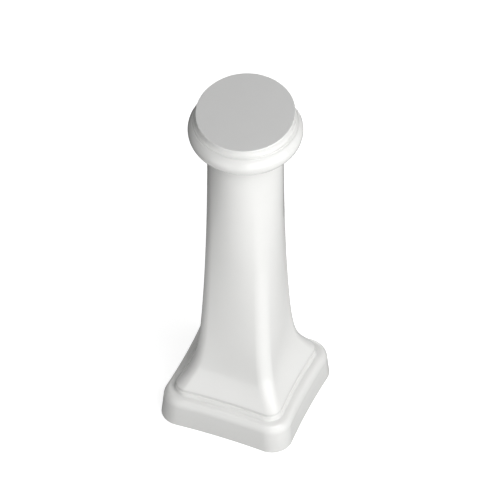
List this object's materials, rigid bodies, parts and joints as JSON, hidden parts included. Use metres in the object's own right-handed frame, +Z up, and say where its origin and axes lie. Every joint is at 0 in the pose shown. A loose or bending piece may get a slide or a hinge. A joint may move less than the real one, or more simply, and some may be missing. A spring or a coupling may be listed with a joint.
{
  "type": "ceramic column",
  "caption": "Glazed ceramic column: square moulded foot, concave skirt, shaft that turns from square to round, half-round collar and flat, slightly sloping seat. Hollow and open underneath.",
  "frame": {"origin": "middle of the foot's underside, on the floor", "axes": "+Z up along the shaft, -Y towards the front, to which the seat slopes down, +X to the right as seen from the front"},
  "size_m": [0.2392, 0.2392, 0.7],
  "materials": {
    "glazed_china": "white glossy glaze, bare and matt on the ground seat and foot rim"
  },
  "bodies": {
    "root": {"ceramic_column": "glazed_china"}
  },
  "joints": []
}
